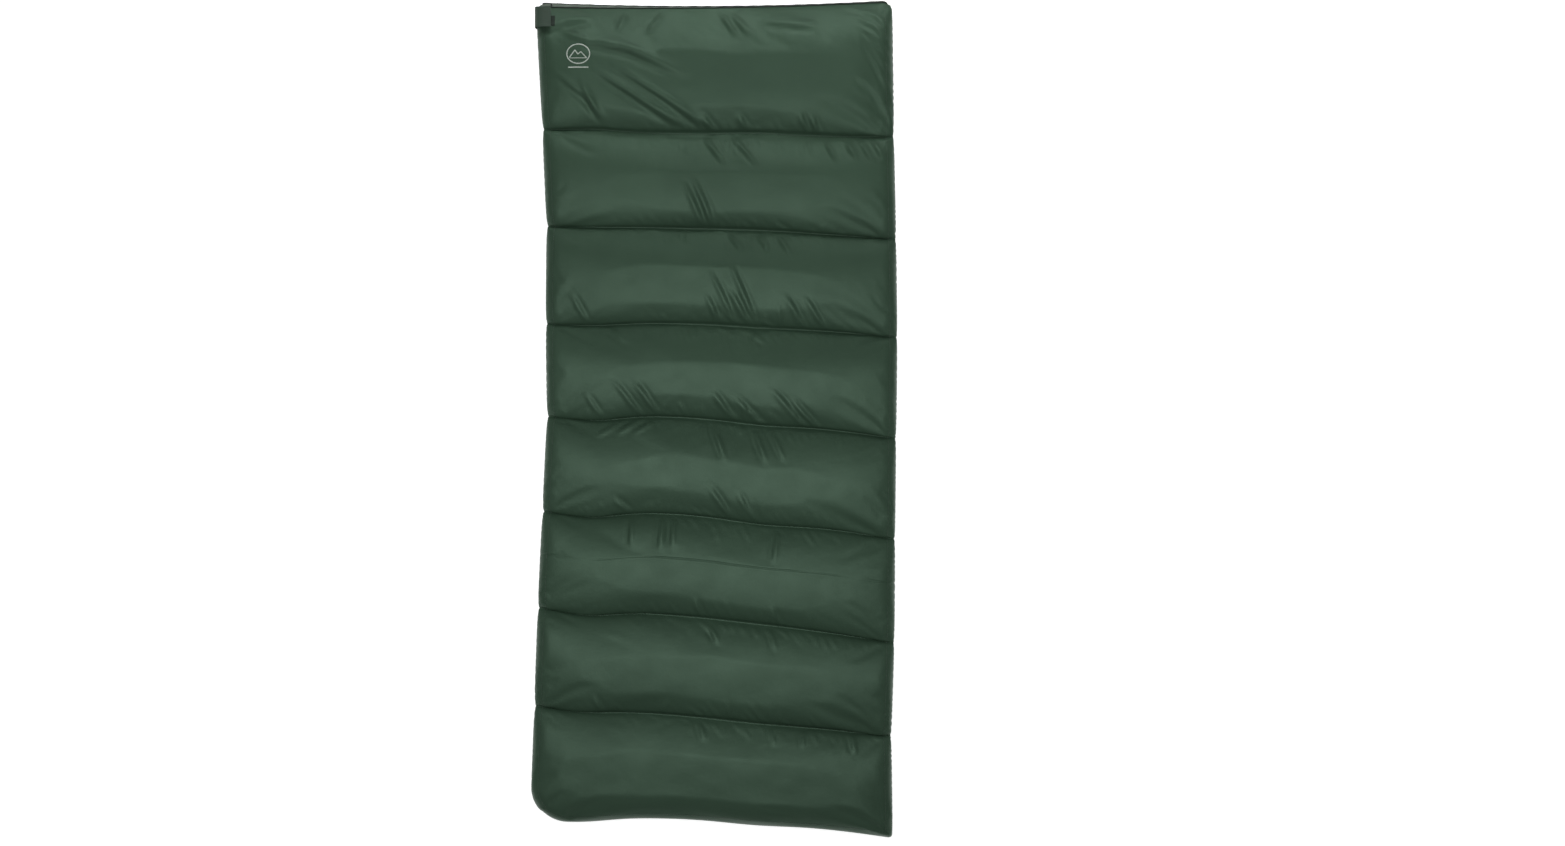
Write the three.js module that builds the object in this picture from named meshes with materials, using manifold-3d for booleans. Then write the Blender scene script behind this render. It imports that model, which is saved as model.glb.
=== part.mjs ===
// Rectangular sleeping bag lying closed on the floor. A bottom quilt and a top quilt, each of eight
// filled channels between an outer shell and a lining, are sewn together along the right side and
// zipped together along the left side and the foot. Millimetres, +Y towards the mouth, +Z up.
import * as THREE from 'three'
import { mergeVertices } from 'three/addons/utils/BufferGeometryUtils.js'
import Module from 'manifold-3d'

// Cross lines from the mouth (first) over the seven quilting seams to the foot (last):
// y at the left edge, the middle and the right edge, and x of both edges on that line.
const LINES = [
  { y: [974, 972, 986], left: -417, right: 417 },
  { y: [685, 673, 668], left: -402, right: 421 },
  { y: [457, 449, 427], left: -392, right: 426 },
  { y: [226, 223, 194], left: -394, right: 429 },
  { y: [8, -1, -46], left: -391, right: 426 },
  { y: [-217, -232, -284], left: -402, right: 423.5 },
  { y: [-446, -474, -530], left: -413, right: 422 },
  { y: [-678, -709, -751], left: -421, right: 414.5 },
  { y: [-951, -949, -991], left: -431, right: 418 },
]
const CHANNELS = LINES.length - 1
const PIECING_SEAM = 5.43 // where the two panels of the top shell meet, in channels from the mouth
const BULGE = { left: 5, right: 3 } // how far each channel's ends stand out past its seams
const CORNER_RADIUS = {
  mouth: { left: 12, right: 20 },
  foot: { left: 70, right: 9 },
}

// Heights of the fill in each quilt. "up" is +1 where the outer face looks up.
const TOP = {
  up: 1,
  mouth: [974, 972, 986],
  inset: 0,
  inner: 57.8,
  innerSeam: 60,
  outer: 93.5,
  outerSeam: 63,
  rim: 62,
}
const BOTTOM = {
  up: -1,
  mouth: [985, 977, 990],
  inset: 2,
  inner: 41.05,
  innerSeam: 33,
  outer: 1.7,
  outerSeam: 30,
  rim: 36.9,
}

const SKIN_GAP = 0.7 // between the fill and the fabric round it
const SHELL_THICK = 1
const LINING_THICK = 0.9
const SEAM_HALF_GAP = 0.005 // between neighbouring fills, in channels
const EDGE_REACH = 40 // distance over which a quilt rounds down to its rim
const EDGE_STEPS = [0, 5, 18, EDGE_REACH]
const PUFF = [[0, 0], [0.08, 0.64], [0.3, 1], [0.7, 1], [0.92, 0.64], [1, 0]]

const THREAD = { width: 1.2, height: 0.8, lift: 1.2 }

const ZIP = {
  x: -386,
  headEnd: 986,
  cornerStart: -860,
  cornerRadius: 62,
  footBend: 60,
  end: [421, -981],
  middle: 49.5,
}
const TAPE = { thick: 0.8, low: 43, high: 48.2 }
const COIL = { from: 0.7, to: 3.2, height: 2.3, gap: 2.4, bevel: 0.5, headGap: 6, footGap: 14 }
const STOP = { length: 4.8, headGap: 0.6, footGap: 1, footLength: 12 }
const SLIDER = { y: 971, length: 13, width: 9.8, plate: 1.6, neck: 1.8, front: 3.6, back: 0.8 }
const PULL = { pivot: 7.6, pin: 0.8, reach: 25, width: 7, thick: 1.5, cheek: 1.4, eye: 1.9 }
const TAB = {
  x: -423.8,
  from: 926,
  to: 974,
  thick: 1.6,
  root: 45,
  rootGap: 0.9,
  bend: 98.9,
  bendGap: 1.3,
  tip: -385,
}
const PATCH = { length: 24, thick: 0.9, gap: 0.3, inset: 4, tipInset: 2, loopFrom: 2.05, loopTo: 3 }

const FABRIC = {
  shell: { color: 0x3c5343, roughness: 0.55, metalness: 0 },
  lining: { color: 0x6d7d70, roughness: 0.8, metalness: 0 },
  fill: { color: 0xe8e6df, roughness: 1, metalness: 0 },
  thread: { color: 0x24352a, roughness: 0.7, metalness: 0 },
  tape: { color: 0x161a18, roughness: 0.85, metalness: 0 },
  coil: { color: 0x202522, roughness: 0.45, metalness: 0 },
  slider: { color: 0x3a3c3d, roughness: 0.35, metalness: 0.9 },
  webbing: { color: 0x2b3830, roughness: 0.9, metalness: 0 },
  hook: { color: 0x1b201d, roughness: 0.95, metalness: 0 },
  binding: { color: 0x1d2320, roughness: 0.75, metalness: 0 },
}

const wasm = await Module()
wasm.setup()
const bag = new THREE.Group()
bag.name = 'sleeping_bag'

function add(name, geometry, finish) {
  const mesh = new THREE.Mesh(geometry, new THREE.MeshStandardMaterial({ ...finish, name }))
  mesh.name = name
  bag.add(mesh)
  return mesh
}

// ---- plan of the bag ----

const mix = (a, b, t) => a + (b - a) * t

// Value at share u of the width, on the parabola through the left, middle and right values
function across([left, middle, right], u) {
  return left * (1 - u) * (1 - 2 * u) + middle * 4 * u * (1 - u) + right * u * (2 * u - 1)
}

// Fullness of a channel at its share t, 0 on a seam and 1 in the middle
function puff(t) {
  const next = PUFF.findIndex(([end]) => end >= t)
  if (next <= 0) return PUFF[0][1]
  const [t0, p0] = PUFF[next - 1]
  const [t1, p1] = PUFF[next]
  return mix(p0, p1, (t - t0) / (t1 - t0))
}

// The two cross lines on either side of v and the share of the way between them
function between(quilt, v) {
  const channel = Math.min(Math.floor(v), CHANNELS - 1)
  const first = channel === 0 ? { ...LINES[0], y: quilt.mouth } : LINES[channel]
  return [first, LINES[channel + 1], v - channel]
}

function edges(quilt, v) {
  const [a, b, t] = between(quilt, v)
  const bulge = puff(t)
  return {
    left: mix(a.left, b.left, t) - BULGE.left * bulge + quilt.inset,
    right: mix(a.right, b.right, t) + BULGE.right * bulge - quilt.inset,
  }
}

function lineY(quilt, v, u) {
  const [a, b, t] = between(quilt, v)
  return mix(across(a.y, u), across(b.y, u), t)
}

// How much of the full height a quilt has at a distance in from its outline
function edgeShare(distance) {
  return Math.sqrt(1 - (1 - Math.min(distance, EDGE_REACH) / EDGE_REACH) ** 2.2)
}

// Fullness between the seams; the mouth and foot ends are rounded by edgeShare instead
function seamShare(v) {
  const t = v - Math.min(Math.floor(v), CHANNELS - 1)
  const outerHalf = (v < 1 && t < 0.5) || (v > CHANNELS - 1 && t > 0.5)
  return outerHalf ? 1 : puff(t)
}

// ---- rows run from mouth to foot, columns from left to right ----

const endRows = (end) => EDGE_STEPS.map((inset) => ({ v: end === 'mouth' ? 0 : CHANNELS, end, inset }))
const MOUTH_ROWS = endRows('mouth')
const FOOT_ROWS = endRows('foot').reverse()
const OUTER_COLUMNS = [
  ...EDGE_STEPS.map((inset) => ({ side: 'left', inset })),
  { share: 0.35 },
  { share: 0.65 },
  ...EDGE_STEPS.map((inset) => ({ side: 'right', inset })).reverse(),
]
const INNER_COLUMNS = OUTER_COLUMNS.filter(({ inset }) => [undefined, 0, EDGE_REACH].includes(inset))

// Rows of one channel; its first and last rows stop "gap" short of the seams
function channelRows(channel, gap) {
  const steps = PUFF.map(([t]) => channel + Math.min(Math.max(t, gap), 1 - gap))
  const rows = steps.map((v) => ({ v }))
  if (channel === 0) return [...MOUTH_ROWS, ...rows.slice(2)]
  if (channel === CHANNELS - 1) return [...rows.slice(0, -2), ...FOOT_ROWS]
  return rows
}

function allRows() {
  const rows = channelRows(0, 0)
  for (let channel = 1; channel < CHANNELS; channel++) rows.push(...channelRows(channel, 0).slice(1))
  return rows
}

const lowFirst = (steps) => [{ ...steps[0], low: true }, ...steps]
const lowLast = (steps) => [...steps, { ...steps.at(-1), low: true }]

// Point of a quilt's outer or inner face, moved outwards from the fill by "grow"
function facePoint(quilt, face, row, column, grow) {
  const { left, right } = edges(quilt, row.v)
  const low = left - grow
  const high = right + grow
  let x = mix(low + EDGE_REACH, high - EDGE_REACH, column.share ?? 0)
  if (column.side === 'left') x = low + column.inset
  if (column.side === 'right') x = high - column.inset
  const u = (x - left) / (right - left)
  let y = lineY(quilt, row.v, u)
  if (row.end === 'mouth') y += grow - row.inset
  if (row.end === 'foot') y += row.inset - grow + quilt.inset
  if (row.end && column.side) {
    const radius = CORNER_RADIUS[row.end][column.side] + grow
    const a = radius - column.inset
    const b = radius - row.inset
    if (a > 0 && b > 0) {
      const pull = 1 - Math.max(a, b) / Math.hypot(a, b)
      x += a * pull * (column.side === 'left' ? 1 : -1)
      y += b * pull * (row.end === 'foot' ? 1 : -1)
    }
  }
  const full = seamShare(row.v)
  const innerZ = mix(quilt.innerSeam, quilt.inner, full)
  if (row.low || column.low) return new THREE.Vector3(x, y, innerZ)
  if (face === 'inner') return new THREE.Vector3(x, y, innerZ - quilt.up * grow)
  const share = edgeShare(Math.min(row.inset ?? EDGE_REACH, column.inset ?? EDGE_REACH))
  const outerZ = mix(quilt.outerSeam, mix(quilt.rim, quilt.outer, share), full)
  return new THREE.Vector3(x, y, outerZ + quilt.up * grow)
}

// ---- solids ----

function solid(points, faces) {
  const geometry = new THREE.BufferGeometry()
  geometry.setAttribute('position', new THREE.Float32BufferAttribute(points.flatMap((p) => p.toArray()), 3))
  geometry.setIndex(faces.flat())
  const merged = mergeVertices(geometry, 1e-3)
  const index = merged.index.array
  const kept = []
  for (let i = 0; i < index.length; i += 3) {
    const [a, b, c] = index.slice(i, i + 3)
    if (a !== b && b !== c && c !== a) kept.push(a, b, c)
  }
  merged.setIndex(kept)
  merged.computeVertexNormals()
  return merged
}

// Closed body between an upper and a lower face given on the same rows and columns
function closedSheet(rows, columns, upper, lower) {
  const points = []
  for (const place of [upper, lower]) {
    for (const row of rows) {
      for (const column of columns) points.push(place(row, column))
    }
  }
  const faces = []
  const quad = (a, b, c, d) => faces.push([a, b, c], [a, c, d])
  const at = (layer, i, j) => (layer * rows.length + i) * columns.length + j
  const lastRow = rows.length - 1
  const lastColumn = columns.length - 1
  for (let i = 0; i < lastRow; i++) {
    for (let j = 0; j < lastColumn; j++) {
      quad(at(0, i, j), at(0, i + 1, j), at(0, i + 1, j + 1), at(0, i, j + 1))
      quad(at(1, i, j), at(1, i, j + 1), at(1, i + 1, j + 1), at(1, i + 1, j))
    }
  }
  for (let i = 0; i < lastRow; i++) {
    quad(at(0, i, 0), at(1, i, 0), at(1, i + 1, 0), at(0, i + 1, 0))
    quad(at(0, i, lastColumn), at(0, i + 1, lastColumn), at(1, i + 1, lastColumn), at(1, i, lastColumn))
  }
  for (let j = 0; j < lastColumn; j++) {
    quad(at(0, 0, j), at(0, 0, j + 1), at(1, 0, j + 1), at(1, 0, j))
    quad(at(0, lastRow, j), at(1, lastRow, j), at(1, lastRow, j + 1), at(0, lastRow, j + 1))
  }
  return solid(points, faces)
}

// Body between two offsets of a quilt's surfaces, each given as [face, grow]
function quiltBody(quilt, rows, columns, first, second) {
  const [upper, lower] = quilt.up > 0 ? [first, second] : [second, first]
  const place = ([face, grow]) => (row, column) => facePoint(quilt, face, row, column, grow)
  return closedSheet(rows, columns, place(upper), place(lower))
}

// Upright strip along a plan path, between two distances to the right of the path
function ribbon(path, from, to, low, high, bevel = 0) {
  const shift = (distance) => path.map(([x, y], i) => {
    const [x0, y0] = path[Math.max(i - 1, 0)]
    const [x1, y1] = path[Math.min(i + 1, path.length - 1)]
    const long = Math.hypot(x1 - x0, y1 - y0)
    return new THREE.Vector2(x + (distance * (y1 - y0)) / long, y - (distance * (x1 - x0)) / long)
  })
  const shape = new THREE.Shape([...shift(from + bevel), ...shift(to - bevel).reverse()])
  const geometry = new THREE.ExtrudeGeometry(shape, {
    depth: high - low - 2 * bevel,
    bevelEnabled: bevel > 0,
    bevelSize: bevel,
    bevelThickness: bevel,
    bevelSegments: 1,
  })
  return clean(geometry.translate(0, 0, low + bevel))
}

function clean(geometry) {
  geometry.deleteAttribute('normal')
  geometry.deleteAttribute('uv')
  const merged = mergeVertices(geometry, 1e-3)
  merged.computeVertexNormals()
  return merged
}

const box = (x0, x1, y0, y1, z0, z1) =>
  new THREE.BoxGeometry(x1 - x0, y1 - y0, z1 - z0).translate((x0 + x1) / 2, (y0 + y1) / 2, (z0 + z1) / 2)

function toManifold(geometry) {
  const merged = clean(geometry.clone())
  return new wasm.Manifold(new wasm.Mesh({
    numProp: 3,
    vertProperties: new Float32Array(merged.attributes.position.array),
    triVerts: new Uint32Array(merged.index.array),
  }))
}

function fromManifold(body) {
  const mesh = body.getMesh()
  const geometry = new THREE.BufferGeometry()
  geometry.setAttribute('position', new THREE.BufferAttribute(new Float32Array(mesh.vertProperties), 3))
  geometry.setIndex([...mesh.triVerts])
  geometry.computeVertexNormals()
  return geometry
}

const join = (...parts) => fromManifold(wasm.Manifold.union(parts.map(toManifold)))
const cut = (whole, ...tools) =>
  fromManifold(toManifold(whole).subtract(wasm.Manifold.union(tools.map(toManifold))))

// ---- quilts ----

const inside = ['outer', SKIN_GAP]
const outside = ['outer', SKIN_GAP + SHELL_THICK]
const shellColumns = lowFirst(lowLast(OUTER_COLUMNS))

function addFills(prefix, quilt) {
  for (let channel = 0; channel < CHANNELS; channel++) {
    const rows = channelRows(channel, SEAM_HALF_GAP)
    const batt = quiltBody(quilt, rows, OUTER_COLUMNS, ['outer', 0], ['inner', 0])
    add(`${prefix}_fill_${channel + 1}`, batt, FABRIC.fill)
  }
}

// The lining reaches out under the lower edge of the shell
function addLining(prefix, quilt) {
  const reach = SKIN_GAP + SHELL_THICK
  const layer = (depth) => (row, column) => {
    const point = facePoint(quilt, 'inner', row, column, reach)
    point.z += quilt.up * (reach - depth)
    return point
  }
  const near = layer(SKIN_GAP)
  const far = layer(SKIN_GAP + LINING_THICK)
  const [upper, lower] = quilt.up > 0 ? [near, far] : [far, near]
  add(`${prefix}_lining`, closedSheet(allRows(), INNER_COLUMNS, upper, lower), FABRIC.lining)
}

// A line of stitching in the groove of each seam
function addSeams(prefix, quilt) {
  const columns = OUTER_COLUMNS.filter(({ inset }) => inset !== 0)
  const lift = SKIN_GAP + SHELL_THICK + THREAD.lift
  const layer = (height) => (side, column) => {
    const point = facePoint(quilt, 'outer', { v: side.v }, column, 0)
    return point.add(new THREE.Vector3(0, side.y, quilt.up * height))
  }
  const near = layer(lift)
  const far = layer(lift + THREAD.height)
  for (let v = 1; v < CHANNELS; v++) {
    const sides = [{ v, y: THREAD.width / 2 }, { v, y: -THREAD.width / 2 }]
    const [upper, lower] = quilt.up > 0 ? [far, near] : [near, far]
    add(`${prefix}_seam_${v}`, closedSheet(sides, columns, upper, lower), FABRIC.thread)
  }
}

const rows = allRows()
const seamGap = 0.0008 // half the gap between the two shell panels, in channels
const headRows = rows.filter(({ v }) => v < PIECING_SEAM)
const footRows = rows.filter(({ v }) => v > PIECING_SEAM)
add(
  'top_shell_head',
  quiltBody(TOP, lowFirst([...headRows, { v: PIECING_SEAM - seamGap }]), shellColumns, outside, inside),
  FABRIC.shell,
)
add(
  'top_shell_foot',
  quiltBody(TOP, lowLast([{ v: PIECING_SEAM + seamGap }, ...footRows]), shellColumns, outside, inside),
  FABRIC.shell,
)
add('bottom_shell', quiltBody(BOTTOM, lowFirst(lowLast(rows)), shellColumns, outside, inside), FABRIC.shell)
for (const [prefix, quilt] of [['top', TOP], ['bottom', BOTTOM]]) {
  addFills(prefix, quilt)
  addLining(prefix, quilt)
  addSeams(prefix, quilt)
}

// ---- mouth hems and right-hand side bindings ----

const HEM = { from: 2.2, thick: 1.35 }
const BINDING = { inset: 8, thick: 1.2, mouthEnd: 12, footEnd: 40 }

function mouthPath(quilt) {
  return OUTER_COLUMNS.slice(2, -2).map((column) => {
    const { x, y } = facePoint(quilt, 'outer', MOUTH_ROWS[0], column, 0)
    return [x, y]
  })
}

function sidePath(quilt) {
  return LINES.map(({ y, right }, i) => {
    const end = { 0: -BINDING.mouthEnd, [CHANNELS]: BINDING.footEnd }[i] ?? 0
    return [right - quilt.inset - BINDING.inset, y[2] + end]
  })
}

for (const [name, quilt, low, high] of [
  ['top_mouth_hem', TOP, 56.2, 63.4],
  ['bottom_mouth_hem', BOTTOM, 35.4, 42.6],
]) {
  add(name, ribbon(mouthPath(quilt), -HEM.from - HEM.thick, -HEM.from, low, high), FABRIC.binding)
}
add('lower_side_binding', ribbon(sidePath(BOTTOM), -BINDING.thick, 0, 43, 47.4), FABRIC.binding)
add('upper_side_binding', ribbon(sidePath(TOP), -BINDING.thick, 0, 49.4, 55.85), FABRIC.binding)

// ---- zip: down the left side, round the corner and along the foot ----

function zipPath() {
  const radius = ZIP.cornerRadius
  const path = [[ZIP.x, ZIP.headEnd], [ZIP.x, 0]]
  const steps = 6
  for (let i = 0; i <= steps; i++) {
    const angle = Math.PI * (1 + (0.5 * i) / steps)
    path.push([ZIP.x + radius + radius * Math.cos(angle), ZIP.cornerStart + radius * Math.sin(angle)])
  }
  return [...path, [ZIP.footBend, ZIP.cornerStart - ZIP.cornerRadius], ZIP.end]
}

const zip = zipPath()
const mirrorZ = (z) => 2 * ZIP.middle - z
const coilTop = ZIP.middle - COIL.gap / 2
// A point on the last straight of the zip, "back" millimetres short of its end
const FOOT_SLOPE = 0.1634
const beforeEnd = (back) => [ZIP.end[0] - back, ZIP.end[1] + back * FOOT_SLOPE]
const coilPath = [[ZIP.x, ZIP.headEnd - COIL.headGap], ...zip.slice(1, -1), beforeEnd(COIL.footGap)]

for (const [prefix, flip] of [['lower', false], ['upper', true]]) {
  const span = (low, high) => (flip ? [mirrorZ(high), mirrorZ(low)] : [low, high])
  const tape = ribbon(zip, -TAPE.thick / 2, TAPE.thick / 2, ...span(TAPE.low, TAPE.high))
  add(`${prefix}_zip_tape`, tape, FABRIC.tape)
  const coil = ribbon(coilPath, COIL.from, COIL.to, ...span(coilTop - COIL.height, coilTop), COIL.bevel)
  add(`${prefix}_zip_coil`, coil, FABRIC.coil)
  const [low, high] = span(coilTop - COIL.height, coilTop)
  const stopHead = ZIP.headEnd - STOP.headGap
  const stop = box(ZIP.x - COIL.to, ZIP.x - COIL.from, stopHead - STOP.length, stopHead, low, high)
  add(`${prefix}_top_stop`, stop, FABRIC.slider)
}
const endPiece = (low, high) => {
  const path = [beforeEnd(STOP.footGap + STOP.footLength), beforeEnd(STOP.footGap)]
  return ribbon(path, COIL.from, COIL.to, low, high)
}
add('retainer_box', endPiece(44.4, 48.3), FABRIC.slider)
add('insertion_pin', endPiece(50.7, 53), FABRIC.slider)

// Padded tube inside the zip that keeps draughts out
const DRAFT = { from: -381, to: -353, low: 43, high: 51.4, start: 958, end: -838 }
const tubeShape = new THREE.Shape()
tubeShape.absellipse(
  (DRAFT.from + DRAFT.to) / 2,
  (DRAFT.low + DRAFT.high) / 2,
  (DRAFT.to - DRAFT.from) / 2,
  (DRAFT.high - DRAFT.low) / 2,
  0,
  2 * Math.PI,
)
const tube = new THREE.ExtrudeGeometry(tubeShape, {
  depth: DRAFT.start - DRAFT.end,
  bevelEnabled: false,
  curveSegments: 16,
})
tube.rotateX(Math.PI / 2).translate(0, DRAFT.start, 0)
add('draft_tube', clean(tube), FABRIC.lining)

// ---- slider: two plates joined by a neck, with a bridge that holds the pull's cross pin ----

function plate(from, to) {
  const half = SLIDER.width / 2
  const shape = new THREE.Shape()
  shape.moveTo(-SLIDER.length / 2, -half * 0.72)
  shape.lineTo(-SLIDER.length / 4, -half * 0.86)
  shape.lineTo(SLIDER.length / 4, -half)
  shape.quadraticCurveTo(SLIDER.length / 2, -half, SLIDER.length / 2, -half * 0.4)
  shape.lineTo(SLIDER.length / 2, half * 0.4)
  shape.quadraticCurveTo(SLIDER.length / 2, half, SLIDER.length / 4, half)
  shape.lineTo(-SLIDER.length / 4, half * 0.86)
  shape.lineTo(-SLIDER.length / 2, half * 0.72)
  const depth = to - from
  const geometry = new THREE.ExtrudeGeometry(shape, { depth, bevelEnabled: false, curveSegments: 5 })
  geometry.applyMatrix4(new THREE.Matrix4().makeBasis(
    new THREE.Vector3(0, 1, 0),
    new THREE.Vector3(0, 0, 1),
    new THREE.Vector3(1, 0, 0),
  ))
  return geometry.translate(ZIP.x - to, SLIDER.y, ZIP.middle)
}

const pivotX = ZIP.x - PULL.pivot
const frontFace = ZIP.x - SLIDER.front - SLIDER.plate
const neckHalf = SLIDER.neck / 2
const neck = box(
  frontFace + 1, ZIP.x + SLIDER.back + 1,
  SLIDER.y + 2, SLIDER.y + 6,
  ZIP.middle - neckHalf, ZIP.middle + neckHalf,
)
const arch = cut(
  box(pivotX - 3.4, frontFace + 0.8, SLIDER.y - 4, SLIDER.y + 4, ZIP.middle - 1, ZIP.middle + 1),
  box(pivotX - 1.9, frontFace - 0.3, SLIDER.y - 2.2, SLIDER.y + 2.2, ZIP.middle - 2, ZIP.middle + 2),
)
const frontPlate = plate(SLIDER.front, SLIDER.front + SLIDER.plate)
const backPlate = plate(-SLIDER.back - SLIDER.plate, -SLIDER.back)
add('zip_slider', join(frontPlate, backPlate, neck, arch), FABRIC.slider)

// ---- pull: cross pin, two cheeks round the bridge and a grip plate with a slot ----

const halfPull = PULL.width / 2
const pin = new THREE.CylinderGeometry(PULL.pin, PULL.pin, PULL.width - 0.4, 12)
pin.rotateX(Math.PI / 2).translate(pivotX, SLIDER.y, ZIP.middle)
const pullTip = pivotX - PULL.reach
const pullFoot = SLIDER.y - PULL.thick / 2
const pullHead = SLIDER.y + PULL.thick / 2
const cheek = (low, high) => box(pivotX - 6.4, pivotX + 1.1, pullFoot, pullHead, low, high)
const grip = cut(
  box(pullTip, pivotX - 5.2, pullFoot, pullHead, ZIP.middle - halfPull, ZIP.middle + halfPull),
  box(pullTip + 3, pullTip + 9, SLIDER.y - 2, SLIDER.y + 2, ZIP.middle - PULL.eye, ZIP.middle + PULL.eye),
)
add('zip_pull', join(
  pin,
  cheek(ZIP.middle - halfPull, ZIP.middle - halfPull + PULL.cheek),
  cheek(ZIP.middle + halfPull - PULL.cheek, ZIP.middle + halfPull),
  grip,
), FABRIC.slider)

// ---- closure tab: webbing from the bottom quilt's edge up and over onto the top quilt ----

const halfTab = TAB.thick / 2
const tabOuter = TAB.x - halfTab
const tabUnder = TAB.bend - halfTab
const patchTop = tabUnder - PATCH.gap
const tabLow = TAB.root + TAB.rootGap
const tabBase = box(tabOuter, TAB.x + halfTab, TAB.from, TAB.to, tabLow, TAB.bend - TAB.bendGap)
const tabFlap = box(tabOuter, TAB.tip, TAB.from, TAB.to, tabUnder, TAB.bend + halfTab)
const patchEnd = TAB.tip - PATCH.tipInset
const hookPatch = box(
  patchEnd - PATCH.length, patchEnd,
  TAB.from + PATCH.inset, TAB.to - PATCH.inset,
  patchTop - PATCH.thick, patchTop,
)
add('tab_base', tabBase, FABRIC.webbing)
add('tab_flap', tabFlap, FABRIC.webbing)
add('hook_patch', hookPatch, FABRIC.hook)

const patchRows = [18, EDGE_REACH, 46].map((inset) => ({ v: 0, end: 'mouth', inset }))
const patchColumns = OUTER_COLUMNS.slice(2, 4)
const loopFaces = [['outer', PATCH.loopTo], ['outer', PATCH.loopFrom]]
add('loop_patch', quiltBody(TOP, patchRows, patchColumns, ...loopFaces), FABRIC.hook)

// ---- origin under the middle of the bag ----

const extent = new THREE.Box3().setFromObject(bag)
const middle = extent.getCenter(new THREE.Vector3())
for (const mesh of bag.children) mesh.geometry.translate(-middle.x, -middle.y, -extent.min.z)

export default bag
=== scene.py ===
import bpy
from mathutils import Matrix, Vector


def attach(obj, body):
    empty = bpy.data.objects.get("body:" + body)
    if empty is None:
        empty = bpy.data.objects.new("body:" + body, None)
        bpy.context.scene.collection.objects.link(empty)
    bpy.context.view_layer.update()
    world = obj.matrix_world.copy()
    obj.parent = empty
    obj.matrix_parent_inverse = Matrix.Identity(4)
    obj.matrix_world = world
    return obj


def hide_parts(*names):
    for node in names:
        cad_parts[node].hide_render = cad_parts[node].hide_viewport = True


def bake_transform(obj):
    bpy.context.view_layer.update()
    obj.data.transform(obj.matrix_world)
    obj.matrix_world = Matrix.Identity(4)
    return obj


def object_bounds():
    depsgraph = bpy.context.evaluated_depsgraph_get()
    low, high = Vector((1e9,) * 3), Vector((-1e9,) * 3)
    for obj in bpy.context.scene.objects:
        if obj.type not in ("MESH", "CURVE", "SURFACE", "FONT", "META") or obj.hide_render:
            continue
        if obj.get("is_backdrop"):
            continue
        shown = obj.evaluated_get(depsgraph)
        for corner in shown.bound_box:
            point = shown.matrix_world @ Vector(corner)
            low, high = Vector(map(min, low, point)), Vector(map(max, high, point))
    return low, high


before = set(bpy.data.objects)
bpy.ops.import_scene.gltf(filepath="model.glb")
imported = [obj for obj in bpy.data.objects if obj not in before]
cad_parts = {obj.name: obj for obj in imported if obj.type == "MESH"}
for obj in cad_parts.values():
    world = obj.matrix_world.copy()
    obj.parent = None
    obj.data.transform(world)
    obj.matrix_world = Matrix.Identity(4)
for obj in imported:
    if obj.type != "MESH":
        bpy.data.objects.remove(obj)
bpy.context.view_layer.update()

import copy
import math

import bmesh
import bpy
import numpy as np
from mathutils import Vector
from mathutils.bvhtree import BVHTree

# Lengths are in millimetres up to mesh_object(), which makes metres of them.
MM = 0.001
SHIFT = np.array([0.95, -0.75, 0.0])  # from the bag's drawing axes to the frame's origin
rng = np.random.default_rng(7)

# ---------------------------------------------------------------- plan of the bag
# Cross lines from the mouth over the seven seams to the foot: y at the left edge, middle and
# right edge, then x of both edges
LINES = np.array([
    [974, 972, 986, -417, 417],
    [685, 673, 668, -402, 421],
    [457, 449, 427, -392, 426],
    [226, 223, 194, -394, 429],
    [8, -1, -46, -391, 426],
    [-217, -232, -284, -402, 423.5],
    [-446, -474, -530, -413, 422],
    [-678, -709, -751, -421, 414.5],
    [-951, -949, -991, -431, 418],
], float)
CHANNELS = len(LINES) - 1
PIECING = 5.43  # the seam joining the top shell's two panels, in channels from the mouth
PIECING_ROWS = np.array([-.024, -.012, -.005, 0, .005, .012, .024])
PIECING_GAP = 0.03
REACH = 40.0  # how far in from the sides and foot the quilts reach full height
MOUTH_REACH = 110.0  # the mouth end rises less steeply than the sides
BULGE = (5.0, 3.0)  # how far a channel swells past its seams, at the left and right
GROWTH = 1.5  # how far the cloth stands outside the sewn lines
CORNERS = {
    ("mouth", "left"): 12.0,
    ("mouth", "right"): 20.0,
    ("foot", "left"): 84.0,
    ("foot", "right"): 9.0,
}

SAG_PLACES = ((0.14, 0.10), (0.62, 0.13))  # where along a line it sags, and how widely
LEFT_SAG = (0, -6, 1, 6, 12, 15, 14, 9, 7)  # sag of each line from the mouth to the foot
RIGHT_SAG = (0, -5, -2, 3, 7, 9, 1, 3, 6)


def seam_sag(line, u):
    """How far a sewn line sags towards the foot off its smooth curve."""
    return sum(
        depth[line] * np.exp(-(((u - place) / width) ** 2))
        for depth, (place, width) in zip((LEFT_SAG, RIGHT_SAG), SAG_PLACES)
    )


class Quilt:
    """One quilt: up is 1 or -1, mouth is y along its mouth, inset narrows it, the rest are heights."""

    def __init__(self, up, mouth, inset, inner, inner_seam, outer, outer_seam, rim):
        self.up, self.inset = up, inset
        self.inner, self.inner_seam = inner, inner_seam
        self.outer, self.outer_seam, self.rim = outer, outer_seam, rim
        self.lines = LINES.copy()
        self.lines[0, :3] = mouth


TOP = Quilt(1, (974, 972, 986), 0, 56.6, 58.9, 92.5, 62.2, 62.5)
BOTTOM = Quilt(-1, (985, 977, 990), 2, 42.4, 35.2, 0.2, 28.5, 36.0)


def across(line, u):
    """The smooth curve of a sewn line at the share u of the width."""
    left, middle, right = line
    return left * (1 - u) * (1 - 2 * u) + middle * 4 * u * (1 - u) + right * u * (2 * u - 1)


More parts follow.
